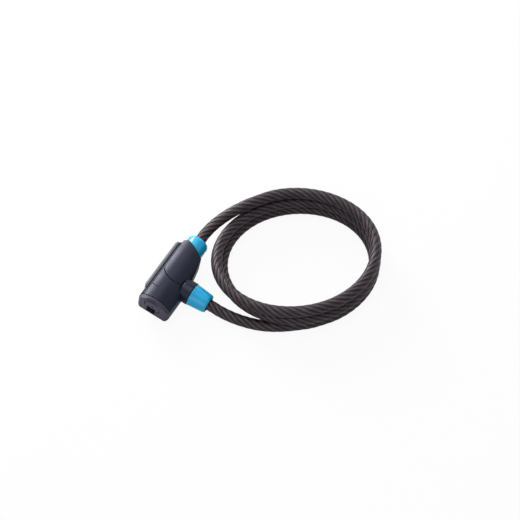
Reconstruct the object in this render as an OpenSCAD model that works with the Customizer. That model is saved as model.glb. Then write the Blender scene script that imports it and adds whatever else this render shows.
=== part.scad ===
// Key-operated bicycle cable lock: a T-shaped head with a plug-in bolt, and 1.5 m of jacketed
// steel cable wound in three loose turns.
// Y runs along the head from the keyhole to the cable collar, and Z is up. The lock lies on Z = 0:
// the head leans over on the bolt's side until the bolt sleeve touches, beside the turns of cable.
// The head's pieces are drawn upright, with X along the bolt, and then laid as one.

/* [Head] */
// Width from the head's centre line to its right side, at the keyhole end
side_right = 19; // [18:0.5:23]
// Width from the head's centre line to its left side, at the keyhole end
side_left = 18.5; // [18:0.5:23]
// Height of the domed front above the flat back
head_h = 27; // [26.5:0.5:31]
// Radius of the domed front
dome_r = 23.5; // [22:0.5:27]
// Radius of the two shoulders beside the dome
shoulder_r = 11; // [9:0.5:12]
// Wall of the plastic shells
shell_wall = 2.2; // [1.8:0.1:2.5]
// Height at which the rear and front shells meet
split_z = 9; // [7:0.5:10]
// Length of the shells from the bolt axis to the end cap
tail_len = 32; // [32:1:40]
// Length of the shells from the bolt axis to the cable end, on the centre line
nose_len = 42; // [40:0.5:44]
// Slope of the shells' cable end, across the head
rim_angle = 26; // [0:1:28]
// Lean of the head over its bolt's side, as it lies
lean = 10; // [4:1:12]

/* [End cap and dust cover] */
// Thickness of the end cap
cap_t = 5.5; // [5:0.25:7]
// Radius on the end cap's two side edges
cap_edge_r = 5; // [2:0.5:5]
// Width of the groove between the end cap and the shells
cap_gap = 0.7; // [0.4:0.1:1]
// Radius of the turning dust cover
cover_r = 8.6; // [8.2:0.1:9.2]
// Thickness of the dust cover
cover_t = 1.2; // [1:0.1:1.5]
// Width of the key window
window_w = 9.8; // [8.8:0.2:10]
// Angle of the key window from straight down
window_angle = 5; // [0:1:15]

/* [Lock cylinder] */
// Sideways place of the key plug
plug_x = -1.2; // [-2:0.1:0]
// Height of the key plug
plug_z = 9; // [8.8:0.1:9.4]
// Radius of the key plug
plug_r = 4.2; // [3.8:0.1:4.3]
// Wall of the brass barrel round the plug
barrel_wall = 1.4; // [1.2:0.1:1.5]
// Number of wafers in the plug
wafer_count = 5; // [3:1:5]
// Travel of a wafer out of the plug
wafer_travel = 0.6; // [0.4:0.1:0.6]
// Distance of the drive pin from the plug's centre
cam_throw = 1.2; // [1.1:0.1:1.3]

/* [Bolt and socket] */
// Radius of the bolt's pin
bolt_r = 4.5; // [4:0.1:4.8]
// Length of the pin in front of the sleeve
bolt_reach = 20; // [19:0.5:21]
// Radius of the socket on the head
socket_r = 12.5; // [11.5:0.25:12.5]
// Distance from the head's centre line to the socket's mouth
socket_x = 25; // [24:0.5:26]
// Radius of the bolt sleeve at the socket
sleeve_r = 12; // [11:0.25:12.5]
// Radius of the bolt sleeve at the cable
sleeve_end_r = 10.3; // [9.5:0.1:11]
// Length of the bolt sleeve
sleeve_len = 20.1; // [19:0.1:20.5]

/* [Collar] */
// Radius of the cable collar
collar_r = 11.7; // [10:0.1:11.8]
// Sideways place of the collar and the cable's fixed end
collar_x = -1.5; // [-2:0.5:0]
// Distance from the bolt axis to the collar's outer end
collar_y = 55.5; // [55:0.5:57]

/* [Cable] */
// Radius of the cable's jacket
cable_r = 6; // [5.5:0.1:6]
// Radius of the steel core where it is stripped
core_r = 4.4; // [3.5:0.1:4.6]
// Height from one turn to the next
turn_pitch = 12.5; // [12.5:0.1:13]
// Half length of the oval coil
coil_a = 84; // [84:1:90]
// Half width of the oval coil
coil_b = 72; // [72:1:76]

/* [Hidden] */
$fn = 96;

axis_z = head_h / 2;
fit = 0.05;
seat = 0.15;
gap = 0.3;
far = 200;
thin_fn = 32;

// Head outline: a shallow arc on the right, a leaning flat side on the left and a round nose
arc_y = -20;
arc_right_r = 255;
left_lean = 1.2;
nose_r = 24;
nose_x = -1;
nose_y = nose_len - 18;
back_edge_r = 7;
section_over = 0.2;
shoulder_over = 0.05;
dome_z = head_h - dome_r;
neck_y = nose_len - 8;
rim_slope = tan(rim_angle);

// Seam across the front: the lower part of a circle. Below it lies a short straight groove.
seam_x = 3;
seam_y = 14;
seam_r = 18.5;
seam_groove_w = 0.9;
seam_groove_d = 0.5;
groove_y = -21.3;
groove_slope = 0.31;
groove_len = 13.5;
groove_w = 0.9;
groove_d = 0.6;

// Rail on the left side
rail_out = side_left + 2.2;
rail_depth = 6;
rail_z = [6.5, 19.8];
rail_y = [10 - tail_len, 41];
rail_end_r = 4;
rail_edge_r = 2.4;

// Channel above the rail, with a soft strip on its floor
channel_z = [18.3, 22.4];
channel_d = 1.3;
strip_t = 0.6;

// Places along the head
face_y = -tail_len - cap_t;
web_y = face_y + cover_t;
plate_y = -tail_len - 1.1;
plate_t = 1.7;
barrel_front = plate_y + plate_t + 0.1;
barrel_back = -12.3;
barrel_r = plug_r + barrel_wall;
barrel_collar_r = barrel_r + 0.8;
flange_r = plug_r + 0.7;
flange_t = 1.1;
plug_front = plate_y - 0.1;
spigot_t = 1.3;
spigot_len = 2.4;

// Dust cover: its centre stands above the plug, along the window's own direction
cover_gap = 0.8;
cover_groove = 1.4;
cap_round_r = 4.5;
cap_foot_r = 1.5;
cap_round_over = 0.3;
window_reach = 6.2;
window_inner = 1.9;
window_end = 13.4;
cover_x = plug_x + window_reach * sin(window_angle);
cover_z = plug_z + window_reach * cos(window_angle);
rivet_r = 0.8;
rivet_head_r = 1.4;
rivet_head_t = 0.5;

// Plug details, counted from the plug's own axis
keyway_w = 2.2;
keyway_h = 6.2;
wafer_w = 5.2;
wafer_h = 6.4;
wafer_t = 1;
wafer_pitch = 3;
wafer_first = plug_front + 5.2;
wafer_slot_t = 1.1;
lug_w = 1.1;
lug_h = 1;
wafer_spring_r = 0.4;
wafer_spring_h = 1.4;
clip_r = plug_r + 0.55;
clip_t = 0.8;
clip_groove_r = 3.2;
plug_back = -11.3;
tail_side = 3.2;
cam_r = 3.8;
cam_t = 1.5;
drive_pin_r = 1;
drive_pin_len = 2.5;

// Latch: a plate across the bolt with an arm to the drive pin
latch_x = 8.6;
latch_t = 2.5;
latch_hole_r = bolt_r + 0.4;
latch_travel = 2 * cam_throw * sin(45);
latch_y = [-9.2, 7.2];
latch_z = [6.2, axis_z + 6.9];
arm_t = 2;
arm_z = [6.4, 13.4];
arm_end_x = -7;
latch_cover_t = 1.2;

// Zinc lock body
body_x = [-12, 14];
body_y = [barrel_front + 2, 33];
body_top = head_h - 5.5;
ferrule_r = 6.9;
ferrule_y = [12, 32.5];
ferrule_pin_r = 1.2;
ferrule_pin_x = 6.6;
ferrule_pin_y = 17.3;

// Bolt
bolt_tip = socket_x + 0.5 - bolt_reach;
bolt_groove_r = 2.9;
bolt_flange_r = 7.6;
bolt_flange_t = 1.4;
bolt_tail_r = 7;
bolt_tail_len = 13;
sleeve_x = socket_x + 0.5;
sleeve_end = sleeve_x + sleeve_len;
sleeve_edge = 2;
grommet_len = 2.6;
grommet_r = cable_r + 1.3;
seal_in = 7.2;
seal_out = 9.2;
seal_t = 1.4;
core_len = 12;
jacket_start_y = 34;
jacket_end_x = sleeve_x + bolt_flange_t + bolt_tail_len + 0.4;

// How the head lies: the crossing of its two axes stands so high that the sleeve's rim touches the
// ground, and the head's own box is centred on the origin
crossing_x = -12.35;
crossing_y = -8.95;
crossing_z = sleeve_end_r * cos(lean) + (sleeve_end - sleeve_edge) * sin(lean);
function laid(p) = [
    crossing_x + p[0] * cos(lean) + (p[2] - axis_z) * sin(lean),
    crossing_y + p[1],
    crossing_z - p[0] * sin(lean) + (p[2] - axis_z) * cos(lean)
];

// Screws from the back: [x, y]. The second one stands just beside the barrel.
screw_r = 1.25;
screw_head_r = 2.4;
screw_head_t = 1.2;
screw_top = 18;
post_r = 2.5;
beside_barrel = plug_x - barrel_r - post_r - 0.7;
screw_spots = [[9.5, 10 - tail_len], [beside_barrel, 12 - tail_len], [-10, 8], [9.8, 27.5]];

// Cable route. The coil is worked out; the two leads are chosen points.
coil_centre = [85.05, 81.35];
coil_turn = 45;
coil_from = -20;
coil_to = 900;
coil_steps = 52;
cable_sides = 12;
lead_in = concat(
    [for (y = [jacket_start_y, 46, 57]) laid([collar_x, y, axis_z])],
    [
        [-13.7, 58.5, 18.6], [-11.1, 70.1, 21.1], [-5.9, 81.7, 24.9], [0.6, 92.8, 28.6],
        [7, 102.6, 30.4]
    ]
);
lead_out = concat(
    [
        [124.5, 20.1, cable_r], [111.3, 10, cable_r], [97.9, 2.1, cable_r],
        [84.3, -3.3, cable_r], [70.9, -6.5, cable_r], [58.9, -8.1, 6.1]
    ],
    [for (x = [60, 52, jacket_end_x]) laid([x, 0, axis_z])]
);

// A side step of the cable that starts and ends a quarter turn either way from its middle
function step_aside(t, middle, size) = abs(t - middle) < 90 ? size * pow(cos(t - middle), 2) : 0;
// Share of one layer that the cable has come down, over half a turn
function come_down(t, start) =
    let (s = min(max((t - start) / 180, 0), 1)) (1 - cos(180 * s)) / 2;
function coil_point(t) =
    let (
        out = step_aside(t, -30, 5) + step_aside(t, 540, 2) + step_aside(t, 630, -6),
        u = (coil_a + out) * cos(90 - t),
        v = (coil_b + out) * sin(90 - t)
    )
    [
        coil_centre[0] + u * cos(coil_turn) - v * sin(coil_turn),
        coil_centre[1] + u * sin(coil_turn) + v * cos(coil_turn),
        cable_r + turn_pitch * (2 - come_down(t, 180) - come_down(t, 540))
    ];
coil_points = [
    for (i = [0:coil_steps]) coil_point(coil_from + (coil_to - coil_from) * i / coil_steps)
];
route = concat(lead_in, coil_points, lead_out);
coil_first = len(lead_in);
coil_last = coil_first + coil_steps;
route_last = len(route) - 1;

function unit(v) = v / norm(v);
function heading(i) =
    i == 0 ? [0, 1, 0]
    : i == route_last ? [-cos(lean), 0, sin(lean)]
    : unit(route[i + 1] - route[i - 1]);
function ring(i) =
    let (
        ahead = heading(i),
        side = unit(cross(ahead, [0, 0, 1])),
        up = cross(side, ahead)
    )
    [
        for (k = [0:cable_sides - 1])
            let (a = 360 * k / cable_sides + 90)
            route[i] + cable_r * (cos(a) * side + sin(a) * up)
    ];

// A stretch of the cable from one route point to another. Its ends are fans about their middle
// points, so that two stretches share the very same face.
module cable_tube(from, to) {
    rings = to - from;
    last_ring = rings * cable_sides;
    start_middle = last_ring + cable_sides;
    points = concat([for (i = [from:to]) each ring(i)], [route[from], route[to]]);
    start_fan = [for (k = [0:cable_sides - 1]) [start_middle, k, (k + 1) % cable_sides]];
    end_fan = [
        for (k = [0:cable_sides - 1])
            [start_middle + 1, last_ring + (k + 1) % cable_sides, last_ring + k]
    ];
    walls = [
        for (i = [0:rings - 1], k = [0:cable_sides - 1])
            let (
                a = i * cable_sides + k,
                b = i * cable_sides + (k + 1) % cable_sides
            )
            each [[a, a + cable_sides, b], [b, a + cable_sides, b + cable_sides]]
    ];
    polyhedron(points, concat(start_fan, walls, end_fan), convexity = 10);
}

// Helpers: a cylinder along X or Y, from one place to the next
module along_x(r, from, to, r_end = undef) {
    translate([from, 0, 0])
        rotate([0, 90, 0])
            cylinder(h = to - from, r1 = r, r2 = is_undef(r_end) ? r : r_end);
}
module along_y(r, from, to) {
    translate([0, from, 0])
        rotate([-90, 0, 0])
            cylinder(h = to - from, r = r);
}
module box(x, y, z) {
    translate([x[0], y[0], z[0]])
        cube([x[1] - x[0], y[1] - y[0], z[1] - z[0]]);
}
module at_bolt() {
    translate([0, 0, axis_z])
        children();
}
module at_collar() {
    translate([collar_x, 0, axis_z])
        children();
}
module at_plug() {
    translate([plug_x, 0, plug_z])
        children();
}
module at_cover() {
    translate([cover_x, 0, cover_z])
        children();
}

// The head's pieces as they lie
module as_laid() {
    translate([crossing_x, crossing_y, crossing_z])
        rotate([0, lean, 0])
            translate([0, 0, -axis_z])
                children();
}

// Everything to the right of the head's flat left side, drawn in by inset
module left_limit(inset) {
    translate([-side_left, -tail_len])
        rotate(-left_lean)
            translate([inset, -far])
                square([2 * far, 2 * far]);
}

// Plan of the head, drawn in by inset
module head_plan(inset) {
    intersection() {
        translate([side_right - arc_right_r, arc_y])
            circle(r = arc_right_r - inset, $fn = 720);
        left_limit(inset);
        union() {
            translate([nose_x, nose_y])
                circle(r = nose_r - inset);
            translate([-far / 2, nose_y - far])
                square([far, far]);
        }
    }
}

// Height of the middle of a shoulder, whose outer side stands at this width. The shoulder stands
// out of the dome by a hair, so that the two arcs cross.
function shoulder_z(width) =
    dome_z + sqrt(pow(dome_r - shoulder_r + shoulder_over, 2) - pow(width - shoulder_r, 2));
// Width at which the dome meets that shoulder
function dome_width(width) = (width - shoulder_r) * dome_r / (dome_r - shoulder_r);

// Half of the D-shaped section, to the right: flat back, straight side, shoulder and dome
module half_section(width, inset) {
    edge = max(back_edge_r - inset, 0.5);
    middle = shoulder_z(width);
    side = width - inset;
    intersection() {
        translate([0, dome_z])
            circle(r = dome_r - inset);
        translate([-1, middle])
            square([1 + dome_width(width), head_h]);
    }
    translate([width - shoulder_r, middle])
        circle(r = shoulder_r - inset);
    translate([-1, inset + edge])
        square([1 + side, middle - inset - edge]);
    translate([-1, inset])
        square([1 + side - edge, middle - inset]);
    translate([side - edge, inset + edge])
        circle(r = edge, $fn = 48);
}

module head_section(inset) {
    half_section(side_right + section_over, inset);
    mirror([1, 0])
        half_section(side_left + section_over, inset);
}

module section_bar(inset, y) {
    translate([0, y[1], 0])
        rotate([90, 0, 0])
            linear_extrude(height = y[1] - y[0])
                head_section(inset);
}

// Outer form of the head between two places along it
module head_form(inset, y) {
    intersection() {
        translate([0, 0, -1])
            linear_extrude(height = head_h + 2)
                head_plan(inset);
        section_bar(inset, y);
    }
}

// Everything above a slanted line across the head
module beyond_line(y0, slope) {
    translate([0, y0, -1])
        rotate([0, 0, -atan(slope)])
            translate([-far / 2, 0, 0])
                cube([far, far / 2, head_h + 2]);
}

// Plan of everything on the far side of the seam, drawn in by inset
module beyond_seam(inset) {
    translate([0, 0, -1])
        linear_extrude(height = head_h + 2)
            union() {
                translate([seam_x, seam_y])
                    circle(r = seam_r - inset, $fn = 180);
                translate([-far / 2, seam_y + inset])
                    square([far, far / 2]);
            }
}

// A skin of the head, as deep as a groove
module skin(depth) {
    difference() {
        head_form(-1, [-tail_len, far / 2]);
        head_form(depth, [-tail_len - 1, far / 2 + 1]);
    }
}

module seam_groove() {
    intersection() {
        difference() {
            beyond_seam(-seam_groove_w / 2);
            beyond_seam(seam_groove_w / 2);
        }
        box([-far, far], [-far, seam_y - 2], [split_z + 1, head_h + 1]);
        skin(seam_groove_d);
    }
}

module short_groove() {
    intersection() {
        difference() {
            beyond_line(groove_y - groove_w / 2, groove_slope);
            beyond_line(groove_y + groove_w / 2, groove_slope);
        }
        box([-far, -side_left + groove_len], [-far, far], [split_z + 1, head_h + 1]);
        skin(groove_d);
    }
}

// The channel above the rail
module rail_channel() {
    intersection() {
        skin(channel_d);
        box([-far, 0], [-tail_len - 1, far / 2], channel_z);
    }
}

// Hollow shells in one, before they are parted
module shell_all() {
    difference() {
        head_form(0, [-tail_len, far / 2]);
        head_form(shell_wall, [-tail_len - 1, neck_y]);
        beyond_line(nose_len, rim_slope);
        at_collar() {
            along_y(collar_r + fit, neck_y - 1, far / 2);
            along_y(collar_r + 0.5 + fit, neck_y + 0.5, neck_y + 2);
        }
        at_bolt()
            along_x(socket_r - 2.5, 0, far / 2);
        rail_channel();
        seam_groove();
        short_groove();
    }
}

module screw_holes(r, z) {
    for (s = screw_spots)
        translate([s[0], s[1], z[0]])
            cylinder(h = z[1] - z[0], r = r, $fn = 48);
}

module front_posts() {
    intersection() {
        screw_holes(post_r, [split_z + 0.1, head_h]);
        head_form((shell_wall + channel_d) / 2, [-tail_len, neck_y]);
    }
}

module rear_shell() {
    color("#24262f")
        difference() {
            intersection() {
                shell_all();
                box([-far, far], [-far, far], [-1, split_z]);
            }
            screw_holes(screw_head_r + fit, [-1, screw_head_t + 0.2]);
            screw_holes(screw_r + fit, [0, split_z]);
        }
}

module front_half() {
    difference() {
        intersection() {
            union() {
                shell_all();
                front_posts();
            }
            box([-far, far], [-far, far], [split_z + 0.1, head_h + 1]);
        }
        screw_holes(screw_r + fit, [0, screw_top + 0.3]);
    }
}

module front_shell() {
    color("#1e2029")
        intersection() {
            front_half();
            beyond_seam(seat);
        }
}

module lower_front_cover() {
    color("#20222c")
        difference() {
            front_half();
            beyond_seam(-seat);
        }
}

module side_strip() {
    color("#101014")
        difference() {
            intersection() {
                head_form(channel_d - strip_t, [1 - tail_len, neck_y + 4]);
                box([-far, 0], [-far, far], [channel_z[0] + seat, channel_z[1] - seat]);
            }
            head_form(channel_d - fit, [-tail_len - 1, far / 2]);
        }
}

// Section of the rail: a bar with one round edge
module rail_section() {
    middle = [-rail_out + rail_edge_r, rail_z[1] - rail_edge_r];
    translate([-rail_out, rail_z[0]])
        square([rail_depth, middle[1] - rail_z[0]]);
    translate([middle[0], rail_z[0]])
        square([rail_depth - rail_edge_r, rail_z[1] - rail_z[0]]);
    translate(middle)
        circle(r = rail_edge_r, $fn = 48);
}

module side_rail() {
    ends = [rail_y[0] + rail_end_r, rail_y[1] - rail_end_r];
    color("#4a4b57")
        difference() {
            intersection() {
                translate([0, rail_y[1], 0])
                    rotate([90, 0, 0])
                        linear_extrude(height = rail_y[1] - rail_y[0])
                            rail_section();
                // Plan of the rail, with both of its outer ends rounded
                linear_extrude(height = head_h)
                    union() {
                        translate([-rail_out - 1, ends[0]])
                            square([rail_depth + 2, ends[1] - ends[0]]);
                        translate([-rail_out + rail_end_r, rail_y[0] - 1])
                            square([rail_depth, rail_y[1] - rail_y[0] + 2]);
                        for (y = ends)
                            translate([-rail_out + rail_end_r, y])
                                circle(r = rail_end_r + 0.02);
                    }
            }
            head_form(-fit, [-tail_len - 1, far / 2]);
        }
}

module shell_screws() {
    color("#9a9ca2")
        for (s = screw_spots)
            translate([s[0], s[1], 0])
                difference() {
                    union() {
                        translate([0, 0, 0.2])
                            cylinder(h = screw_head_t, r = screw_head_r, $fn = 48);
                        translate([0, 0, 0.2 + screw_head_t])
                            cylinder(h = screw_top - screw_head_t - 0.2, r = screw_r, $fn = 48);
                    }
                    translate([-screw_head_r, -0.4, 0])
                        cube([2 * screw_head_r, 0.8, 0.9]);
                }
}

// Rectangular key window: a notch in the dust cover's rim, which goes on below it in the end cap
module window_cut(y) {
    at_cover()
        rotate([0, window_angle, 0])
            box([-window_w / 2, window_w / 2], y, [-window_end, -window_inner]);
}

// Outer form of the end cap, with all its front edges rounded, and the one at the back least
module cap_form(back) {
    depth = back - face_y;
    top = [face_y + cap_round_r, head_h - cap_round_r + cap_round_over];
    foot = [face_y + cap_foot_r, cap_foot_r - cap_round_over];
    intersection() {
        section_bar(0, [face_y, back]);
        translate([0, 0, -1])
            linear_extrude(height = head_h + 2)
                union() {
                    translate([-side_left, face_y + cap_edge_r])
                        square([side_left + side_right, depth]);
                    translate([-side_left + cap_edge_r, face_y])
                        square([side_left + side_right - 2 * cap_edge_r, depth]);
                    for (x = [-side_left + cap_edge_r, side_right - cap_edge_r])
                        translate([x, face_y + cap_edge_r])
                            circle(r = cap_edge_r);
                }
        translate([-far / 2, 0, 0])
            rotate([90, 0, 90])
                linear_extrude(height = far)
                    union() {
                        translate([top[0], -1])
                            square([depth, head_h + 2]);
                        translate([foot[0], -1])
                            square([depth, top[1] + 1]);
                        translate([face_y, foot[1]])
                            square([depth, top[1] - foot[1]]);
                        translate(top)
                            circle(r = cap_round_r);
                        translate(foot)
                            circle(r = cap_foot_r, $fn = 48);
                    }
    }
}

module end_cap() {
    color("#5c5a66")
        difference() {
            union() {
                cap_form(-tail_len - cap_gap);
                head_form(1, [-tail_len - cap_gap - 1, -tail_len - fit]);
                difference() {
                    head_form(shell_wall + seat, [-tail_len - 1, spigot_len - tail_len]);
                    head_form(shell_wall + seat + spigot_t, [-tail_len - 2, far / 2]);
                    at_plug()
                        along_y(barrel_collar_r + gap, -tail_len - 2, far / 2);
                }
            }
            at_cover() {
                along_y(cover_r + cover_gap, face_y - 1, web_y);
                difference() {
                    along_y(cover_r + cover_gap, face_y, web_y + cover_groove);
                    along_y(cover_r - fit, face_y - 1, far / 2);
                }
                along_y(rivet_r + fit, face_y - 1, far / 2);
            }
            window_cut([face_y - 1, plate_y + 1]);
            at_plug()
                along_y(plug_r + seat, face_y, far / 2);
            head_form(shell_wall + seat + spigot_t - fit, [plate_y - fit, far / 2]);
        }
}

module dust_cover() {
    color("#615f6b")
        difference() {
            intersection() {
                at_cover()
                    along_y(cover_r, face_y, web_y - fit);
                cap_form(-tail_len - cap_gap);
            }
            window_cut([face_y - 1, web_y + 1]);
            at_cover()
                along_y(rivet_r + fit, face_y - 1, web_y + 1);
        }
}

module dust_cover_pin() {
    color("#8a8b92")
        at_cover() {
            along_y(rivet_head_r, face_y - rivet_head_t, face_y);
            along_y(rivet_r, face_y, plate_y - 0.3);
        }
}

module anti_drill_plate() {
    color("#a9abb0")
        difference() {
            head_form(shell_wall + seat + spigot_t + 0.1, [plate_y, plate_y + plate_t]);
            at_plug()
                along_y(plug_r + 0.1, plate_y - 1, plate_y + plate_t + 1);
        }
}

module lock_body() {
    color("#8f9197")
        difference() {
            union() {
                intersection() {
                    head_form(shell_wall + seat, [body_y[0], body_y[1]]);
                    box(body_x, body_y, [0, body_top]);
                }
                intersection() {
                    at_plug()
                        along_y(barrel_collar_r, barrel_front, body_y[0] + 1);
                    head_form(shell_wall + seat, [-tail_len, far / 2]);
                }
            }
            at_plug() {
                along_y(barrel_r + fit, barrel_front - 1, barrel_back);
                along_y(clip_r + 0.3, barrel_back - 1, latch_y[0] + arm_t);
            }
            // Slot of the latch and of its arm, open at the top
            box([latch_x - 0.2, latch_x + latch_t + 0.2], [latch_y[0] - 0.2, latch_y[1] + 0.2],
                [latch_z[0] - latch_travel - 0.3, head_h]);
            box([arm_end_x - 0.4, latch_x + 1], [latch_y[0] - 0.2, latch_y[0] + arm_t + 0.2],
                [arm_z[0] - latch_travel - 0.3, head_h]);
            at_bolt()
                along_x(bolt_r + 0.06, bolt_tip - 1.5, far / 2);
            at_collar()
                along_y(ferrule_r + fit, ferrule_y[0] - 0.3, far / 2);
            translate([collar_x + ferrule_pin_x, ferrule_pin_y, 0])
                cylinder(h = head_h, r = ferrule_pin_r + fit, $fn = 48);
            screw_holes(screw_r + 0.3, [0, head_h]);
            screw_holes(post_r + 0.3, [split_z, head_h]);
        }
}

module cylinder_barrel() {
    groove_w_in = wafer_w + 0.5;
    groove_r = plug_r + 0.95;
    color("#b59a55")
        at_plug()
            difference() {
                along_y(barrel_r, barrel_front, barrel_back);
                along_y(plug_r + fit, barrel_front - 1, barrel_back + 1);
                along_y(flange_r + fit, barrel_front - 1, barrel_front + 0.2 + flange_t);
                // Wafer grooves for the open and the locked position of the plug
                intersection() {
                    along_y(groove_r, barrel_front - 1, barrel_back - 1.5);
                    union() {
                        box([-groove_w_in / 2, lug_w + wafer_w / 2 + 0.3], [-far, far], [0, far]);
                        box([0, far], [-far, far], [-lug_w - wafer_w / 2 - 0.3, groove_w_in / 2]);
                    }
                }
            }
}

module wafer_slots() {
    for (i = [0:wafer_count - 1])
        translate([0, wafer_first + i * wafer_pitch, 0]) {
            box([-wafer_w / 2 - 0.1, wafer_w / 2 + 0.1], [0, wafer_slot_t], [-far, far]);
            box([0, wafer_w / 2 + lug_w + 0.1], [0, wafer_slot_t],
                [-wafer_spring_h - 0.2, lug_h + wafer_travel + 0.2]);
        }
}

module key_plug() {
    color("#c9b06a")
        at_plug()
            difference() {
                union() {
                    along_y(plug_r, plug_front, plug_back);
                    along_y(flange_r, barrel_front + 0.1, barrel_front + 0.1 + flange_t);
                    box([-tail_side / 2, tail_side / 2], [plug_back - 0.5, plug_back + cam_t],
                        [-tail_side / 2, tail_side / 2]);
                }
                box([-keyway_w / 2, keyway_w / 2], [plug_front - 1, barrel_back - 2],
                    [-keyway_h / 2, keyway_h / 2]);
                wafer_slots();
                difference() {
                    along_y(plug_r + 1, barrel_back + 0.05, barrel_back + 0.15 + clip_t);
                    along_y(clip_groove_r, barrel_back - 1, barrel_back + 2);
                }
            }
}

module wafers() {
    color("#d8c27e")
        at_plug()
            for (i = [0:wafer_count - 1])
                translate([0, wafer_first + i * wafer_pitch + 0.05, 0])
                    difference() {
                        union() {
                            box([-wafer_w / 2, wafer_w / 2], [0, wafer_t], [-wafer_h / 2, wafer_h / 2]);
                            box([0, wafer_w / 2 + lug_w - 0.1], [0, wafer_t], [0, lug_h]);
                        }
                        box([-keyway_w / 2 - 0.2, keyway_w / 2 + 0.2], [-1, wafer_t + 1],
                            [-keyway_h / 2 + 1 - 0.2 * (i % 3), keyway_h / 2 - 1]);
                    }
}

module wafer_springs() {
    color("#b9bcc2")
        at_plug()
            for (i = [0:wafer_count - 1])
                translate([wafer_w / 2 + lug_w / 2, wafer_first + i * wafer_pitch + wafer_slot_t / 2,
                        -wafer_spring_h - 0.1])
                    cylinder(h = wafer_spring_h, r = wafer_spring_r, $fn = thin_fn);
}

module plug_circlip() {
    color("#6f7278")
        at_plug()
            difference() {
                along_y(clip_r, barrel_back + 0.1, barrel_back + 0.1 + clip_t);
                along_y(clip_groove_r + fit, barrel_back - 1, barrel_back + 2);
                box([-1.5, 1.5], [-far, far], [-far, 0]);
            }
}

module plug_cam() {
    hole = tail_side / 2 + fit;
    color("#85888f")
        at_plug() {
            difference() {
                along_y(cam_r, plug_back + fit, plug_back + cam_t);
                box([-hole, hole], [-far, far], [-hole, hole]);
            }
            // The drive pin stands on the disc, clear of the square hole, on a web behind the tail
            along_y(cam_r, plug_back + cam_t, plug_back + cam_t + 0.4);
            translate([cam_throw * cos(45), 0, cam_throw * sin(45)])
                along_y(drive_pin_r, plug_back + cam_t + 0.3, plug_back + cam_t + drive_pin_len);
        }
}

module latch() {
    pin_x = plug_x + cam_throw * cos(45);
    pin_z = plug_z + cam_throw * sin(45);
    sweep = cam_throw * (1 - cos(45));
    color("#c3c6cc")
        difference() {
            union() {
                box([latch_x, latch_x + latch_t], latch_y, latch_z);
                box([arm_end_x, latch_x + 0.5], [latch_y[0], latch_y[0] + arm_t], arm_z);
            }
            at_bolt()
                along_x(latch_hole_r, latch_x - 1, latch_x + latch_t + 1);
            box([pin_x - drive_pin_r - gap, pin_x + sweep + drive_pin_r + gap],
                [latch_y[0] - 1, latch_y[0] + arm_t + 1],
                [pin_z - drive_pin_r - seat, pin_z + drive_pin_r + seat]);
        }
}

module latch_cover() {
    color("#a2a5ab")
        difference() {
            intersection() {
                box([-9, latch_x + latch_t + 2], [latch_y[0] - 1.8, latch_y[1] + 1.8],
                    [body_top + fit, body_top + fit + latch_cover_t]);
                head_form(shell_wall + seat, [body_y[0], body_y[1]]);
            }
            screw_holes(post_r + 0.3, [split_z, head_h]);
        }
}

module socket_boss() {
    color("#15161c")
        difference() {
            at_bolt()
                along_x(socket_r, 8, socket_x);
            difference() {
                head_form(-fit, [-tail_len, far / 2]);
                at_bolt()
                    along_x(socket_r - 2.5 - fit, body_x[1] + 0.1, far / 2);
            }
            box([-far, body_x[1] + 0.1], [-far, far], [-1, far]);
            at_bolt() {
                along_x(bolt_r + 0.3, 0, far / 2);
                along_x(seal_out + fit, socket_x - 1, far / 2);
            }
        }
}

module socket_seal() {
    color("#101014")
        at_bolt()
            difference() {
                along_x(seal_out, socket_x - 1 + fit, socket_x - 1 + seal_t);
                along_x(seal_in, 0, far / 2);
            }
}

module locking_bolt() {
    tip_len = 1.2;
    color("#d0d3d8")
        at_bolt()
            difference() {
                union() {
                    along_x(bolt_r - 1, bolt_tip, bolt_tip + tip_len, bolt_r);
                    along_x(bolt_r, bolt_tip + tip_len, sleeve_x + 1);
                    along_x(bolt_flange_r, sleeve_x + 0.1, sleeve_x + bolt_flange_t);
                    along_x(bolt_tail_r, sleeve_x + bolt_flange_t, sleeve_x + bolt_flange_t + bolt_tail_len);
                }
                difference() {
                    along_x(bolt_r + 1, latch_x - 0.3, latch_x + latch_t + 0.3);
                    along_x(bolt_groove_r, 0, far / 2);
                }
                along_x(core_r, sleeve_x + bolt_flange_t + 1, far / 2);
            }
}

module bolt_sleeve() {
    color("#28a7e0")
        at_bolt()
            difference() {
                union() {
                    along_x(sleeve_r, sleeve_x, sleeve_end - sleeve_edge, sleeve_end_r);
                    along_x(sleeve_end_r, sleeve_end - sleeve_edge, sleeve_end,
                        sleeve_end_r - sleeve_edge / 2);
                }
                along_x(bolt_flange_r + fit, sleeve_x - 1, sleeve_x + bolt_flange_t + fit);
                along_x(bolt_tail_r + fit, sleeve_x, sleeve_x + bolt_flange_t + bolt_tail_len + 0.3);
                along_x(cable_r + 0.1, sleeve_x, far / 2);
                along_x(grommet_r + fit, sleeve_end - grommet_len, far / 2);
            }
}

module bolt_grommet() {
    color("#1b1b20")
        at_bolt()
            difference() {
                along_x(grommet_r, sleeve_end - grommet_len + fit, sleeve_end + 0.4);
                along_x(cable_r + fit, 0, far / 2);
            }
}

module cable_core_bolt() {
    color("#b4b7bc")
        at_bolt()
            along_x(core_r - fit, jacket_end_x - core_len, jacket_end_x);
}

module cable_collar() {
    edge = 2;
    color("#2aaae2")
        at_collar()
            difference() {
                union() {
                    along_y(collar_r, body_y[1] + 0.1, collar_y - edge);
                    along_y(collar_r + 0.5, neck_y + 0.5 + fit, neck_y + 2 - fit);
                    translate([0, collar_y - edge, 0])
                        rotate([-90, 0, 0])
                            cylinder(h = edge, r1 = collar_r, r2 = collar_r - edge / 2);
                }
                along_y(cable_r + 0.1, 0, far / 2);
                along_y(grommet_r + fit, collar_y - grommet_len, far / 2);
            }
}

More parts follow.
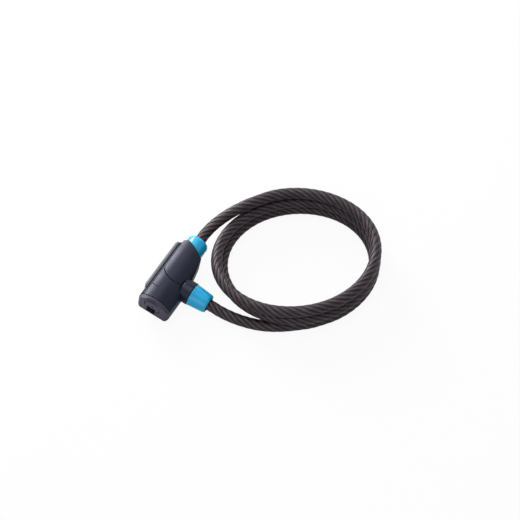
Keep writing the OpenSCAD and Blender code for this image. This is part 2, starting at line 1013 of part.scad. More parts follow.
module collar_grommet() {
    color("#1b1b20")
        at_collar()
            difference() {
                along_y(grommet_r, collar_y - grommet_len + fit, collar_y + 0.4);
                along_y(cable_r + fit, 0, far / 2);
            }
}

module fixed_ferrule() {
    groove_r = ferrule_pin_x - ferrule_pin_r - 0.1;
    color("#b7babf")
        at_collar()
            difference() {
                along_y(ferrule_r, ferrule_y[0], ferrule_y[1]);
                difference() {
                    along_y(ferrule_r + 1, ferrule_pin_y - ferrule_pin_r - 0.1,
                        ferrule_pin_y + ferrule_pin_r + 0.1);
                    along_y(groove_r, 0, far / 2);
                }
                along_y(core_r, jacket_start_y - core_len, far / 2);
            }
}

module ferrule_pin() {
    color("#8b8e94")
        translate([collar_x + ferrule_pin_x, ferrule_pin_y, shell_wall + gap])
            cylinder(h = body_top - shell_wall - 2 * gap, r = ferrule_pin_r, $fn = 48);
}

module cable_core_head() {
    color("#b4b7bc")
        at_collar()
            along_y(core_r - fit, jacket_start_y - core_len + fit, jacket_start_y);
}

module cable_start_lead() {
    color("#3b3338")
        cable_tube(0, coil_first);
}
module cable_coil() {
    color("#3b3338")
        cable_tube(coil_first, coil_last);
}
module cable_end_lead() {
    color("#3b3338")
        cable_tube(coil_last, route_last);
}

as_laid() rear_shell();
as_laid() front_shell();
as_laid() lower_front_cover();
as_laid() side_rail();
as_laid() side_strip();
as_laid() shell_screws();
as_laid() end_cap();
as_laid() dust_cover();
as_laid() dust_cover_pin();
as_laid() anti_drill_plate();
as_laid() lock_body();
as_laid() cylinder_barrel();
as_laid() key_plug();
as_laid() wafers();
as_laid() wafer_springs();
as_laid() plug_circlip();
as_laid() plug_cam();
as_laid() latch();
as_laid() latch_cover();
as_laid() socket_boss();
as_laid() socket_seal();
as_laid() locking_bolt();
as_laid() bolt_sleeve();
as_laid() bolt_grommet();
as_laid() cable_core_bolt();
as_laid() cable_collar();
as_laid() collar_grommet();
as_laid() fixed_ferrule();
as_laid() ferrule_pin();
as_laid() cable_core_head();
cable_start_lead();
cable_coil();
cable_end_lead();
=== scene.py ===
# %% [markdown]
# # A bicycle cable lock
# The lock is a T-shaped head in black and grey plastic, with two light blue fittings where the
# cable goes in, and a steel cable in a smoky jacket that lies in three loose turns. The hard parts
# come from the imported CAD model, which is loaded first and never moved. This lesson gives them
# their finishes, and makes the cable with its twisted strands.

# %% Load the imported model
import math

import bmesh
import bpy
from mathutils import Matrix, Vector


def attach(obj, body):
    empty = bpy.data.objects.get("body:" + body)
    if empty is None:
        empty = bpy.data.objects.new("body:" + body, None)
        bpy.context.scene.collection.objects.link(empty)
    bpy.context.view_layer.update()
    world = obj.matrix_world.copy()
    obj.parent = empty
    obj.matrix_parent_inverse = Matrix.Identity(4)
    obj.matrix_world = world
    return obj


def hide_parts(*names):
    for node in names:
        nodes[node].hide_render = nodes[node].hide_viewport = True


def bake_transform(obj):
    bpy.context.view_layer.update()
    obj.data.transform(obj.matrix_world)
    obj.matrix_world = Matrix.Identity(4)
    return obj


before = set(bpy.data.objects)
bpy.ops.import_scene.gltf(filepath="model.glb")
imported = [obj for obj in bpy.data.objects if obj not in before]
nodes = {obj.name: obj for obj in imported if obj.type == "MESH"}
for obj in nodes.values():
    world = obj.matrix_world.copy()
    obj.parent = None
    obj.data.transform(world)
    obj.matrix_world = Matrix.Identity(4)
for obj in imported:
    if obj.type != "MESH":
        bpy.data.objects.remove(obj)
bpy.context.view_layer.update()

MM = 0.001

# %% [markdown]
# ## The camera
# The lock lies on a table and is seen from above, from the keyhole's side. A short lens close by
# would make the near turns of cable look larger than the far ones. A long lens from one and a half
# metres away keeps them alike.

# %% Camera
AIM = Vector((52.15, 62.45, 15.0)) * MM
AZIMUTH = math.radians(30.5)
ELEVATION = math.radians(57)
DISTANCE = 1520.5 * MM


def direction(azimuth, elevation):
    """Unit vector from the object towards a viewer at this azimuth and elevation."""
    flat = math.cos(elevation)
    return Vector(
        (math.sin(azimuth) * flat, -math.cos(azimuth) * flat, math.sin(elevation))
    )


camera_data = bpy.data.cameras.new("camera")
camera_data.lens = 100
camera_data.sensor_width = 36
camera_data.clip_start = 0.05
camera_data.clip_end = 30
camera = bpy.data.objects.new("camera", camera_data)
bpy.context.collection.objects.link(camera)
toward_viewer = direction(AZIMUTH, ELEVATION)
camera.location = AIM + toward_viewer * DISTANCE
camera.rotation_euler = toward_viewer.to_track_quat("Z", "Y").to_euler()
bpy.context.scene.camera = camera
print("camera at", [round(c, 3) for c in camera.location])

# %% [markdown]
# ## The cable's route
# The real cable is springy: it keeps the three turns it was rolled into. The CAD model gives its
# route as chosen points for the two leads and a rule for the coil. The same numbers are repeated
# here, in millimetres, and a smooth curve goes through them all.
#
# Both leads start in the head, and the head doesn't lie flat: the cable's stiffness tips it over
# its bolt's side, until the blue sleeve touches the table. A matrix could be read off the moved
# CAD parts, but they carry no turn of their own. So the same lean and the same crossing of the
# head's two axes are built up here again.

# %% How the head lies
LEAN = math.radians(10)
AXIS_Z = 13.5
BOLT_SLEEVE_END = 45.6
BOLT_SLEEVE_END_R = 10.3
SLEEVE_EDGE = 2  # the sleeve's end is rounded off over this length
CROSSING = Vector(
    (
        -12.35,
        -8.95,
        BOLT_SLEEVE_END_R * math.cos(LEAN)
        + (BOLT_SLEEVE_END - SLEEVE_EDGE) * math.sin(LEAN),
    )
)
LAID = (
    Matrix.Translation(CROSSING)
    @ Matrix.Rotation(LEAN, 4, "Y")
    @ Matrix.Translation((0, 0, -AXIS_Z))
)


def laid(x, y, z):
    """A point of the upright head, in millimetres, where it lies."""
    return LAID @ Vector((x, y, z))


print("crossing of the head's axes at", [round(c, 2) for c in laid(0, 0, AXIS_Z)])

# %% [markdown]
# The coil could be a spring-like helix, but a cable that was rolled up by hand lies in slightly
# unequal ovals. Each turn therefore gets its own small bulge, and comes down one layer over half a
# turn, where it passes beside the one below.

# %% Route of the coil
CABLE_R = 6.0
TURN_PITCH = 12.5  # from one layer to the next, a little more than the cable's thickness
COIL_CENTRE = (85.05, 81.35)
COIL_A, COIL_B = 84.0, 72.0  # half the oval's length, and half its width
COIL_TURN = math.radians(45)
COIL_FROM, COIL_TO, COIL_STEPS = -20, 900, 52  # degrees along the coil, and steps between
HALF_TURN = 180
QUARTER_TURN = 90
STEPS_DOWN = (180, 540)  # degrees at which the cable starts down to the next layer
BULGES = ((-30, 5.0), (540, 2.0), (630, -6.0))  # middle in degrees, and how far out


def come_down(t, start):
    """Share of one layer that the cable has come down, over the half turn from start."""
    share = min(max((t - start) / HALF_TURN, 0), 1)
    return (1 - math.cos(math.radians(HALF_TURN * share))) / 2


def coil_point(t):
    """The cable's middle, t degrees along the coil, in millimetres."""
    out = sum(
        size * math.cos(math.radians(t - middle)) ** 2
        for middle, size in BULGES
        if abs(t - middle) < QUARTER_TURN
    )
    u = (COIL_A + out) * math.cos(math.radians(QUARTER_TURN - t))
    v = (COIL_B + out) * math.sin(math.radians(QUARTER_TURN - t))
    layers = float(len(STEPS_DOWN))
    for start in STEPS_DOWN:
        layers -= come_down(t, start)
    return (
        COIL_CENTRE[0] + u * math.cos(COIL_TURN) - v * math.sin(COIL_TURN),
        COIL_CENTRE[1] + u * math.sin(COIL_TURN) + v * math.cos(COIL_TURN),
        CABLE_R + TURN_PITCH * layers,
    )


coil = [
    coil_point(COIL_FROM + (COIL_TO - COIL_FROM) * i / COIL_STEPS)
    for i in range(COIL_STEPS + 1)
]
print("points in the coil:", len(coil))

# %% [markdown]
# The two leads follow no rule, so their points are simply listed. Each is straight where it is in
# its fitting, as the stiff cable must be, and swings over between there and the coil.

# %% Routes of the two leads
COLLAR_X = -1.5
LEAD_IN = (
    *[laid(COLLAR_X, y, AXIS_Z) for y in (34, 46, 57)],
    (-13.7, 58.5, 18.6), (-11.1, 70.1, 21.1), (-5.9, 81.7, 24.9), (0.6, 92.8, 28.6),
    (7, 102.6, 30.4),
)
LEAD_OUT = (
    (124.5, 20.1, 6), (111.3, 10, 6), (97.9, 2.1, 6), (84.3, -3.3, 6), (70.9, -6.5, 6),
    (58.9, -8.1, 6.1), *[laid(x, 0, AXIS_Z) for x in (60, 52, 40.3)],
)
knots = [Vector(p) * MM for p in (*LEAD_IN, *coil, *LEAD_OUT)]
print("route points:", len(knots))

# %% [markdown]
# A Catmull-Rom curve passes through every point and keeps its direction there. It is walked in
# small steps, and then cut again into equal lengths, so that the strands get an even lay.

# %% Smooth the route and cut it into equal lengths
FINE = 24  # small steps between two points of the route
RING_STEP = 2.2 * MM


def smooth_through(points, parts):
    """Points along a Catmull-Rom curve through the given ones."""
    ends = [2 * points[0] - points[1], *points, 2 * points[-1] - points[-2]]
    walked = []
    for a, b, c, d in zip(ends, ends[1:], ends[2:], ends[3:]):
        for i in range(parts):
            t = i / parts
            walked.append(
                0.5 * (2 * b + (c - a) * t + (2 * a - 5 * b + 4 * c - d) * t**2
                       + (3 * b - a - 3 * c + d) * t**3)
            )
    return [*walked, points[-1]]


def cut_evenly(points, step):
    """The same line as points at an equal spacing near step, and its length."""
    at = [0.0]
    for a, b in zip(points, points[1:]):
        at.append(at[-1] + (b - a).length)
    count = max(2, round(at[-1] / step))
    even = []
    k = 0
    for i in range(count + 1):
        want = at[-1] * i / count
        while k < len(points) - 2 and at[k + 1] < want:
            k += 1
        share = (want - at[k]) / max(at[k + 1] - at[k], 1e-9)
        even.append(points[k].lerp(points[k + 1], share))
    return even, at[-1]


path, cable_length = cut_evenly(smooth_through(knots, FINE), RING_STEP)
print("cable length in metres:", round(cable_length, 4), "rings:", len(path))

# %% [markdown]
# ## The cable
# Under a thin tinted jacket lie seven steel strands, each wound round the middle like a corkscrew.
# The jacket is drawn tight over them, so the strands show as slanting ridges. A curve with a round
# bevel would be quicker, but it has no strands, and seven tubes under a clear skin would cost many
# faces for little. So a flat grid is rolled up along the route: one side runs along the cable and
# the other round it.
#
# Rolling needs two sideways directions at every ring. Worked out afresh at each ring they could
# jump, so they are carried along from the first one, and only kept square to the cable.

# %% A new piece, and the directions to roll it in
def new_piece(name, mesh_maker):
    """A mesh object at the origin, filled by mesh_maker."""
    mesh = bpy.data.meshes.new(name)
    bm = bmesh.new()
    mesh_maker(bm)
    bmesh.ops.recalc_face_normals(bm, faces=bm.faces)
    bm.to_mesh(mesh)
    bm.free()
    piece = bpy.data.objects.new(name, mesh)
    bpy.context.collection.objects.link(piece)
    return piece


def frames_along(points):
    """Two sideways directions at each point, carried along without twisting."""
    ahead = [
        (points[min(i + 1, len(points) - 1)] - points[max(i - 1, 0)]).normalized()
        for i in range(len(points))
    ]
    side = ahead[0].cross(Vector((0, 0, 1))).normalized()
    carried = []
    for heading in ahead:
        side = (side - heading * side.dot(heading)).normalized()
        carried.append((side, heading.cross(side)))
    return carried


sides = frames_along(path)
print("sideways directions for", len(sides), "rings")

# %% [markdown]
# The grid is twisted as it is rolled, so that each ridge follows a grid line and stays sharp with
# few faces. A stretch's two ends are closed with flat faces. Their edges are marked sharp, so that
# the shading of one stretch runs on into the next without a line.

# %% Roll a grid up into the cable
STRANDS = 7
LAY = 60 * MM  # the length over which a strand goes once round
AROUND = 84  # faces round the cable, twelve to a strand
RIDGE = 0.55 * MM
WELD = 0.02 * MM


def roll_cable(bm, first, last):
    """The cable's skin from one ring of the route to another."""
    lengths = last - first
    bm.loops.layers.uv.verify()
    bmesh.ops.create_grid(
        bm, x_segments=lengths, y_segments=AROUND, size=0.5, calc_uvs=True
    )
    step = cable_length / (len(path) - 1)
    for vert in bm.verts:
        ring = first + round((vert.co.x + 0.5) * lengths)
        round_share = vert.co.y + 0.5
        turned = 2 * math.pi * (round_share + ring * step / LAY)
        crest = abs(math.cos(math.pi * STRANDS * round_share))
        r = CABLE_R * MM - RIDGE * (1 - crest) ** 2
        side, up = sides[ring]
        vert.co = path[ring] + r * (math.cos(turned) * side + math.sin(turned) * up)
    for face in bm.faces:
        face.smooth = True
    bmesh.ops.remove_doubles(bm, verts=bm.verts, dist=WELD)
    end_edges = [e for e in bm.edges if e.is_boundary]
    for edge in end_edges:
        edge.smooth = False
    bmesh.ops.holes_fill(bm, edges=end_edges, sides=AROUND + 2)


print("strands:", STRANDS, "lay in metres:", LAY)

# %% [markdown]
# The real cable is one length, but only its end by the bolt has to bend when the bolt is pulled
# out. One long piece would bend wherever it comes near the bolt, the turns of the coil as well.
# So it is laid in two stretches, which share the ring where the coil ends.

# %% Lay the cable in two stretches
def lay_cable(name, first, last, lay, *replaced):
    """One stretch of the cable, in place of its plain solids."""
    piece = new_piece(name, lambda bm: roll_cable(bm, first, last))
    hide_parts(*replaced)
    return piece


coil_end = Vector(coil[-1]) * MM
SPLIT = min(range(len(path)), key=lambda i: (path[i] - coil_end).length)
cable = lay_cable("cable", 0, SPLIT, "coiled", "cable_start_lead", "cable_coil")
cable_end = lay_cable("cable_end", SPLIT, len(path) - 1, "loose", "cable_end_lead")
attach(cable, "housing")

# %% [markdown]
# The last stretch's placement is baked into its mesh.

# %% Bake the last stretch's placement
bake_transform(cable_end)

# %% [markdown]
# ## Helpers for finishes
# Colours are chosen as sRGB hex values, as on a screen, and turned into the linear numbers that
# Blender's shaders work with.

# %% Colours
def linear(hex_colour):
    """sRGB hex to linear RGBA."""
    parts = [int(hex_colour[i:i + 2], 16) / 255 for i in (1, 3, 5)]
    return (*[c / 12.92 if c <= 0.04045 else ((c + 0.055) / 1.055) ** 2.4 for c in parts], 1.0)


WHITE = linear("#ffffff")
print("mid grey is", [round(c, 3) for c in linear("#808080")[:3]])

# %% [markdown]
# Every material is built from nodes. Written out one by one they would fill pages, so one small
# function adds any node, with its settings and links.

# %% Nodes and materials
def add_node(tree, kind, settings=None, links=None, stops=()):
    """Adds one node.

    settings are properties or input values, links are input name: output, and stops are the
    places and hex colours on a colour ramp.
    """
    node = tree.nodes.new(kind)
    for name, value in (settings or {}).items():
        if isinstance(name, int) or name in node.inputs:
            node.inputs[name].default_value = value
        else:
            setattr(node, name, value)
    for name, output in (links or {}).items():
        tree.links.new(output, node.inputs[name])
    for i, (place, hex_colour) in enumerate(stops):
        node.color_ramp.elements[i].position = place
        node.color_ramp.elements[i].color = linear(hex_colour)
    return node


def new_material(name, **shader):
    """A node material with one Principled shader that has these settings."""
    material = bpy.data.materials.new(name)
    material.use_nodes = True
    tree = material.node_tree
    tree.nodes.clear()
    surface = add_node(tree, "ShaderNodeBsdfPrincipled", shader)
    add_node(tree, "ShaderNodeOutputMaterial", links={"Surface": surface.outputs["BSDF"]})
    return material, tree, surface


def finish_with(material, *names):
    """Puts the material on CAD nodes or pieces by name."""
    for name in names:
        piece = nodes.get(name) or bpy.data.objects[name]
        piece.data.materials.clear()
        piece.data.materials.append(material)
    print(material.name, "on", *names)


print("helpers for nodes and materials are ready")

# %% [markdown]
# ## Moulded plastics
# The shells, the cap, the rail and the socket's boss are ABS, and the two fittings a clearer,
# harder plastic. All are moulded in one piece of one colour. Sparks etched the steel of the
# moulds, and for the fittings it was polished again. The etching leaves a fine pebble, which
# breaks the shine up into a soft sheen, and moulded edges are never quite sharp. Cutting such
# edges into the CAD meshes would change them, so the Bevel node rounds them in the shading only.

# %% How a moulded plastic is made
CLOUD_MM = 14  # size of the soft clouds in tone and shine
SHINE_SPREAD = 0.04  # how far the roughness wanders to either side


def moulded_plastic(
    name, dark, light, roughness, grain_mm, grain_height_mm, edge_mm,
    coat=0.0, sheen="#ffffff", level=0.5,
):
    """Plastic from a spark-eroded mould: one colour, with a fine pebble that softens its shine.

    The pebble is drawn about twice as coarse as the real one, to show at all.
    """
    material, tree, surface = new_material(
        name,
        **{
            "IOR": 1.5, "Specular IOR Level": level, "Specular Tint": linear(sheen),
            "Coat Weight": coat, "Coat Roughness": 0.12,
        },
    )
    edge = add_node(tree, "ShaderNodeBevel", {"samples": 6, "Radius": edge_mm * MM})
    at = add_node(tree, "ShaderNodeTexCoord").outputs["Object"]
    clouds = add_node(
        tree, "ShaderNodeTexNoise", {"Scale": 1 / (CLOUD_MM * MM), "Detail": 3.0}, {"Vector": at}
    )
    tone = add_node(
        tree, "ShaderNodeValToRGB", links={"Fac": clouds.outputs["Fac"]},
        stops=((0.35, dark), (0.65, light)),
    )
    tree.links.new(tone.outputs["Color"], surface.inputs["Base Color"])
    shine = add_node(
        tree, "ShaderNodeMapRange",
        {
            "From Min": 0.3, "From Max": 0.7,
            "To Min": roughness - SHINE_SPREAD, "To Max": roughness + SHINE_SPREAD,
        },
        {"Value": clouds.outputs["Fac"]},
    )
    tree.links.new(shine.outputs["Result"], surface.inputs["Roughness"])
    grain = add_node(
        tree, "ShaderNodeTexNoise", {"Scale": 1 / (grain_mm * MM), "Detail": 2.0}, {"Vector": at}
    )
    bump = add_node(
        tree, "ShaderNodeBump", {"Strength": 1.0, "Distance": grain_height_mm * MM},
        {"Height": grain.outputs["Fac"], "Normal": edge.outputs["Normal"]},
    )
    tree.links.new(bump.outputs["Normal"], surface.inputs["Normal"])
    return material


print("clouds in the plastic:", CLOUD_MM, "mm")

# %% [markdown]
# The five plastics differ in colour, in shine and in how deep the mould was etched. One set of
# values for all would be simpler, but the eye tells a shell from a fitting by exactly these.

# %% The head's plastics
# ABS from an etched mould: near black with a cold sheen, which shows the dome's curve.
shell_black = moulded_plastic(
    "moulded ABS, navy black", "#0f111c", "#141623",
    roughness=0.4, grain_mm=0.9, grain_height_mm=0.012, edge_mm=0.5, sheen="#ccd2f2", level=0.32,
)
finish_with(shell_black, "rear_shell", "front_shell", "lower_front_cover")

# ABS from a smoother mould: darker, with a clearer highlight along the round boss.
boss_black = moulded_plastic(
    "gloss ABS, black", "#0a0b14", "#0e1019",
    roughness=0.36, grain_mm=1.2, grain_height_mm=0.008, edge_mm=0.8, sheen="#c4cdf5", level=0.4,
)
finish_with(boss_black, "socket_boss")

# ABS from a deeper-etched mould: a flat, warm grey with hardly a highlight.
cap_grey = moulded_plastic(
    "moulded ABS, warm grey", "#383444", "#3f3b4c",
    roughness=0.5, grain_mm=0.8, grain_height_mm=0.015, edge_mm=0.6, sheen="#d8d4f0", level=0.35,
)
finish_with(cap_grey, "end_cap", "dust_cover", "dust_cover_pin")

# The same ABS in a lighter, colder grey: a plain band that sets the rail off from the shells.
# Its lighter grey is painted sheen: it stands in for the light the rail's side catches at a
# grazing angle.
rail_grey_painted_sheen = moulded_plastic(
    "moulded ABS, rail grey", "#4c4e5e", "#545666",
    roughness=0.45, grain_mm=0.8, grain_height_mm=0.015, edge_mm=0.8,
)
finish_with(rail_grey_painted_sheen, "side_rail")

# Polycarbonate from a polished mould: a bright, even blue under a thin gloss.
fitting_blue = moulded_plastic(
    "polished polycarbonate, light blue", "#0eaade", "#16b2e6",
    roughness=0.32, grain_mm=2.0, grain_height_mm=0.006, edge_mm=0.9, coat=0.12, level=0.38,
)
finish_with(fitting_blue, "bolt_sleeve", "cable_collar")

# %% [markdown]
# ## Rubber
# The seal and the two grommets are black moulded rubber, filled with soot. The strip in the rail's
# channel gets the same black rubber as painted shade: it darkens the channel as its shade would.
# Rubber is matt, because its skin is rough on a scale of a tenth of a millimetre. Noise in the
# colour and the bump gives that, with no shine worth modelling.

# %% Rubber
RUBBER_GRAIN_MM = 0.6  # drawn coarser than the real skin, to show at all


def seal_rubber():
    """Soot-filled rubber from a plain mould: almost no shine, and a fine dusty unevenness."""
    material, tree, surface = new_material(
        "moulded rubber, black", **{"IOR": 1.5, "Roughness": 0.7}
    )
    at = add_node(tree, "ShaderNodeTexCoord").outputs["Object"]
    grain = add_node(
        tree, "ShaderNodeTexNoise", {"Scale": 1 / (RUBBER_GRAIN_MM * MM), "Detail": 3.0},
        {"Vector": at},
    )
    tone = add_node(
        tree, "ShaderNodeValToRGB", links={"Fac": grain.outputs["Fac"]},
        stops=((0.0, "#0e0e11"), (1.0, "#18181c")),
    )
    tree.links.new(tone.outputs["Color"], surface.inputs["Base Color"])
    bump = add_node(
        tree, "ShaderNodeBump", {"Distance": 0.02 * MM}, {"Height": grain.outputs["Fac"]}
    )
    tree.links.new(bump.outputs["Normal"], surface.inputs["Normal"])
    return material


# The strip in the rail's channel is painted shade: a black part where the channel lies in shade.
finish_with(seal_rubber(), "socket_seal", "bolt_grommet", "collar_grommet", "side_strip")

# %% [markdown]
# ## Metals
# The bolt and the latch are plated steel, the lock's barrel and wafers brass, and the body
# die-cast zinc. The plug and the plate in front of it are steel coloured nearly black, as painted
# shade for the key window. Turning and drawing leave fine lines along one direction. Anisotropic
# shading could imitate them, but it is lost on small round parts. So a noise that is stretched
# along the lines is used, for both tone and bump. The lines are drawn several times as coarse as
# real tool marks, to show at all.

# %% How a metal is made
LINE_STRETCH = 12.0  # a line is this many times as long as it is wide
ACROSS_X, ACROSS_Y = 0, 1  # the axis that the lines run across


def plain_metal(name, dark, light, roughness, line_mm, axis):
    """Turned or drawn metal: fine lines across one axis, and a soft change of tone."""
    material, tree, surface = new_material(name, **{"Metallic": 1.0, "Roughness": roughness})
    at = add_node(tree, "ShaderNodeTexCoord").outputs["Object"]
    stretch = [1.0, 1.0, 1.0]
    stretch[axis] = LINE_STRETCH
    lines = add_node(tree, "ShaderNodeMapping", {"Scale": stretch}, {"Vector": at})
    drawn = add_node(
        tree, "ShaderNodeTexNoise",
        {"Scale": 1 / (line_mm * LINE_STRETCH * MM), "Detail": 3.0},
        {"Vector": lines.outputs["Vector"]},
    )
    tone = add_node(
        tree, "ShaderNodeValToRGB", links={"Fac": drawn.outputs["Fac"]},
        stops=((0.3, dark), (0.7, light)),
    )
    tree.links.new(tone.outputs["Color"], surface.inputs["Base Color"])
    bump = add_node(
        tree, "ShaderNodeBump", {"Distance": 0.01 * MM}, {"Height": drawn.outputs["Fac"]}
    )
    tree.links.new(bump.outputs["Normal"], surface.inputs["Normal"])
    return material


print("lines in the metal are", LINE_STRETCH, "times as long as they are wide")

# %% [markdown]
# Most of the metal is inside the head. The four kinds still get their own tones, because the key
# window shows the plug's face, coloured dark as painted shade, and the pulled bolt its bright pin.

# %% The lock's metals
# Turned and plated: bright, with fine rings round the bolt.
steel = plain_metal(
    "turned steel, plated", "#a9abaf", "#c3c5c9", roughness=0.28, line_mm=0.3, axis=ACROSS_X
)
finish_with(
    steel, "locking_bolt", "latch", "latch_cover", "plug_cam", "plug_circlip",
    "ferrule_pin", "shell_screws", "wafer_springs", "fixed_ferrule",
    "cable_core_head", "cable_core_bolt",
)

# Turned from bar and left bare: a dull yellow.
brass = plain_metal(
    "turned brass", "#8f7440", "#a98b52", roughness=0.35, line_mm=0.3, axis=ACROSS_Y
)
finish_with(brass, "cylinder_barrel", "wafers")

# Steel coloured nearly black: painted shade, so that the keyhole reads as a dark hole.
painted_shade_black = plain_metal(
    "blackened steel", "#1b1b20", "#26262c", roughness=0.4, line_mm=0.3, axis=ACROSS_Y
)
finish_with(painted_shade_black, "key_plug", "anti_drill_plate")

# Cast in a steel die: a dull grey, rougher than the turned parts.
zinc = plain_metal(
    "die-cast zinc", "#77797d", "#8d8f94", roughness=0.5, line_mm=0.8, axis=ACROSS_Y
)
finish_with(zinc, "lock_body")

# %% [markdown]
# ## The cable's jacket
# The real jacket is clear vinyl with a smoky tint, pressed over the steel. Light goes down through
# it, meets a strand and comes back, darker where the vinyl is thicker. True transmission would
# need the strands inside and much light to show them. So the tone is painted instead: the grid's
# own UV map says how far a point is from a crest, and the tone falls from a light crest to a dark
# valley. This is partly the vinyl's depth and partly painted light: a painted highlight of the
# steel on the crests, and painted shade in the valleys between the strands.

# %% Cable jacket
SMOKE_MM = 9  # size of the lighter and darker clouds in the tint
RIPPLE_MM = 1.6  # size of the faint waves in the vinyl's skin


def smoky_jacket():
    """Tinted vinyl over steel strands: light crests, dark valleys, and an uneven depth.

    The light crests are partly a painted highlight, and the dark valleys partly painted shade.
    """
    material, tree, surface = new_material(
        "smoky vinyl over steel strands",
        **{"IOR": 1.5, "Roughness": 0.36, "Specular IOR Level": 0.2},
    )
    at = add_node(tree, "ShaderNodeTexCoord")
    parts = add_node(tree, "ShaderNodeSeparateXYZ", links={"Vector": at.outputs["UV"]})
    crests = add_node(
        tree, "ShaderNodeMath", {"operation": "MULTIPLY", 1: float(STRANDS)},
        {0: parts.outputs["Y"]},
    )
    saw = add_node(
        tree, "ShaderNodeMath", {"operation": "PINGPONG", 1: 0.5}, {0: crests.outputs[0]}
    )
    # Painted light: the light crests are partly a painted highlight of the steel, and the dark
    # valleys partly painted shade between the strands.
    strands = add_node(
        tree, "ShaderNodeValToRGB", links={"Fac": saw.outputs[0]},
        stops=((0.0, "#594b54"), (0.42, "#0f090c")),
    )
    smoke = add_node(
        tree, "ShaderNodeTexNoise", {"Scale": 1 / (SMOKE_MM * MM), "Detail": 4.0},
        {"Vector": at.outputs["Object"]},
    )
    depth = add_node(
        tree, "ShaderNodeMapRange",
        {"From Min": 0.3, "From Max": 0.7, "To Min": 0.55, "To Max": 1.2},
        {"Value": smoke.outputs["Fac"]},
    )
    tinted = add_node(
        tree, "ShaderNodeVectorMath", {"operation": "SCALE"},
        {0: strands.outputs["Color"], "Scale": depth.outputs["Result"]},
    )
    tree.links.new(tinted.outputs["Vector"], surface.inputs["Base Color"])
    ripple = add_node(
        tree, "ShaderNodeTexNoise", {"Scale": 1 / (RIPPLE_MM * MM), "Detail": 2.0},
        {"Vector": at.outputs["Object"]},
    )
    bump = add_node(
        tree, "ShaderNodeBump", {"Distance": 0.02 * MM}, {"Height": ripple.outputs["Fac"]}
    )
    tree.links.new(bump.outputs["Normal"], surface.inputs["Normal"])
    return material


finish_with(smoky_jacket(), "cable", "cable_end")

# %% [markdown]
# ## Floor and light
# The lock lies on a plain white table. Much light on it would also bleach the lock. So the table
# is mostly plain white to the camera alone, and only the rest of it takes the lamps' light and
# the lock's shadow. Mirrored in the cable it is dimmer, because a full white would draw light
# lines between the turns.

# %% Floor
FLOOR_HALF = 4
FLOOR_DROP = 0.0002  # so that the floor doesn't share a plane with the lock's lowest faces
PAPER_SHARE = 0.93  # how much of the table is plain white to the camera
MIRRORED_SHARE = 0.3
TABLE_GRAIN_MM = 25


def background_rays(tree, mirrored):
    """1 for rays straight or through glass to the camera, and mirrored for reflected ones."""
    rays = add_node(tree, "ShaderNodeLightPath")
    straight = add_node(
        tree, "ShaderNodeMath", {"operation": "MAXIMUM"},
        {0: rays.outputs["Is Camera Ray"], 1: rays.outputs["Is Transmission Ray"]},
    )
    return add_node(
        tree, "ShaderNodeMath", {"operation": "MULTIPLY_ADD", 1: mirrored},
        {0: rays.outputs["Is Glossy Ray"], 2: straight.outputs[0]},
    ).outputs[0]


def white_floor():
    """A matt white table: even and bright, with a faint shadow under the lock."""
    material, tree, surface = new_material("white table", **{"Roughness": 0.9, "IOR": 1.3})
    at = add_node(tree, "ShaderNodeTexCoord").outputs["Object"]
    grain = add_node(
        tree, "ShaderNodeTexNoise", {"Scale": 1 / (TABLE_GRAIN_MM * MM)}, {"Vector": at}
    )
    tone = add_node(
        tree, "ShaderNodeValToRGB", links={"Fac": grain.outputs["Fac"]},
        stops=((0.0, "#f2f2f2"), (1.0, "#f5f5f5")),
    )
    tree.links.new(tone.outputs["Color"], surface.inputs["Base Color"])
    share = add_node(
        tree, "ShaderNodeMath", {"operation": "MULTIPLY", 1: PAPER_SHARE},
        {0: background_rays(tree, MIRRORED_SHARE)},
    )
    paper = add_node(tree, "ShaderNodeEmission", {"Color": WHITE, "Strength": 1.0})
    mix = add_node(
        tree, "ShaderNodeMixShader",
        links={0: share.outputs[0], 1: surface.outputs["BSDF"], 2: paper.outputs[0]},
    )
    out = next(n for n in tree.nodes if n.type == "OUTPUT_MATERIAL")
    tree.links.new(mix.outputs[0], out.inputs["Surface"])
    return material


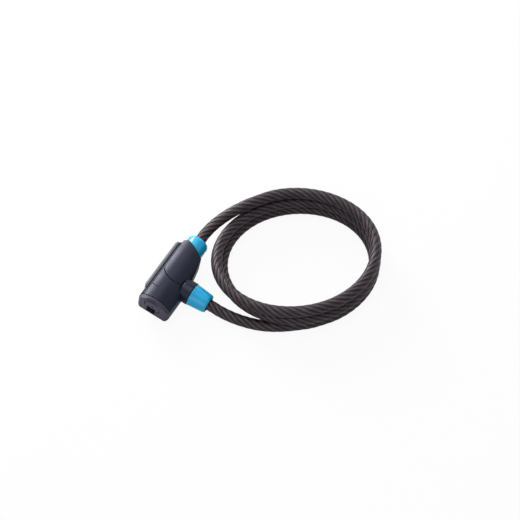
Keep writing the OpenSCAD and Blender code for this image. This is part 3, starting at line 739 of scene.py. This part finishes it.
def flat_floor(bm):
    """One large level square under the lock."""
    bmesh.ops.create_grid(bm, x_segments=1, y_segments=1, size=FLOOR_HALF)
    bmesh.ops.translate(bm, verts=bm.verts, vec=(0, 0, -FLOOR_DROP))


floor = new_piece("floor", flat_floor)
floor.data.materials.append(white_floor())
print("floor:", 2 * FLOOR_HALF, "metres across")

# %% [markdown]
# One soft lamp stands low on the far left, so that its reflection runs along the dome's left side.
# A broad one hangs above, and two weak ones fill the near right and the back. They are large
# squares close to the lock, as the diffusers of a product table are.

# %% Lamps
LAMPS = (  # name, direction from the lock, distance and width in metres, watts
    ("key", (-0.85, 0.4, 0.42), 1.6, 0.7, 28),
    ("top", (-0.25, 0.1, 1.0), 1.9, 1.4, 17),
    ("fill", (0.3, -0.9, 0.5), 2.0, 1.2, 8),
    ("back", (0.25, 1.0, 0.28), 1.8, 1.2, 6),
)


def soft_lamp(name, towards, distance, size, watts):
    """A square area lamp that looks at the lock."""
    data = bpy.data.lights.new(name, "AREA")
    data.size = size
    data.energy = watts
    lamp = bpy.data.objects.new(name, data)
    bpy.context.collection.objects.link(lamp)
    way = Vector(towards).normalized()
    lamp.location = AIM + way * distance
    lamp.rotation_euler = way.to_track_quat("Z", "Y").to_euler()


for lamp_row in LAMPS:
    soft_lamp(*lamp_row)
print("lamps:", len(LAMPS))

# %% [markdown]
# The world is the light from all round. A bright one would flatten the shapes, so it is dim as a
# light, and plain white where it is seen, straight or mirrored.

# %% World
WORLD_LIGHT = 0.14

world = bpy.data.worlds.new("studio")
bpy.context.scene.world = world
world.use_nodes = True
room = world.node_tree
room.nodes.clear()
dim = add_node(room, "ShaderNodeBackground", {"Color": WHITE, "Strength": WORLD_LIGHT})
bright = add_node(room, "ShaderNodeBackground", {"Color": WHITE, "Strength": 1.0})
both = add_node(
    room, "ShaderNodeMixShader",
    links={0: background_rays(room, 1.0), 1: dim.outputs[0], 2: bright.outputs[0]},
)
add_node(room, "ShaderNodeOutputWorld", links={"Surface": both.outputs[0]})
bpy.context.scene.view_settings.view_transform = "Standard"
print("world light:", WORLD_LIGHT)
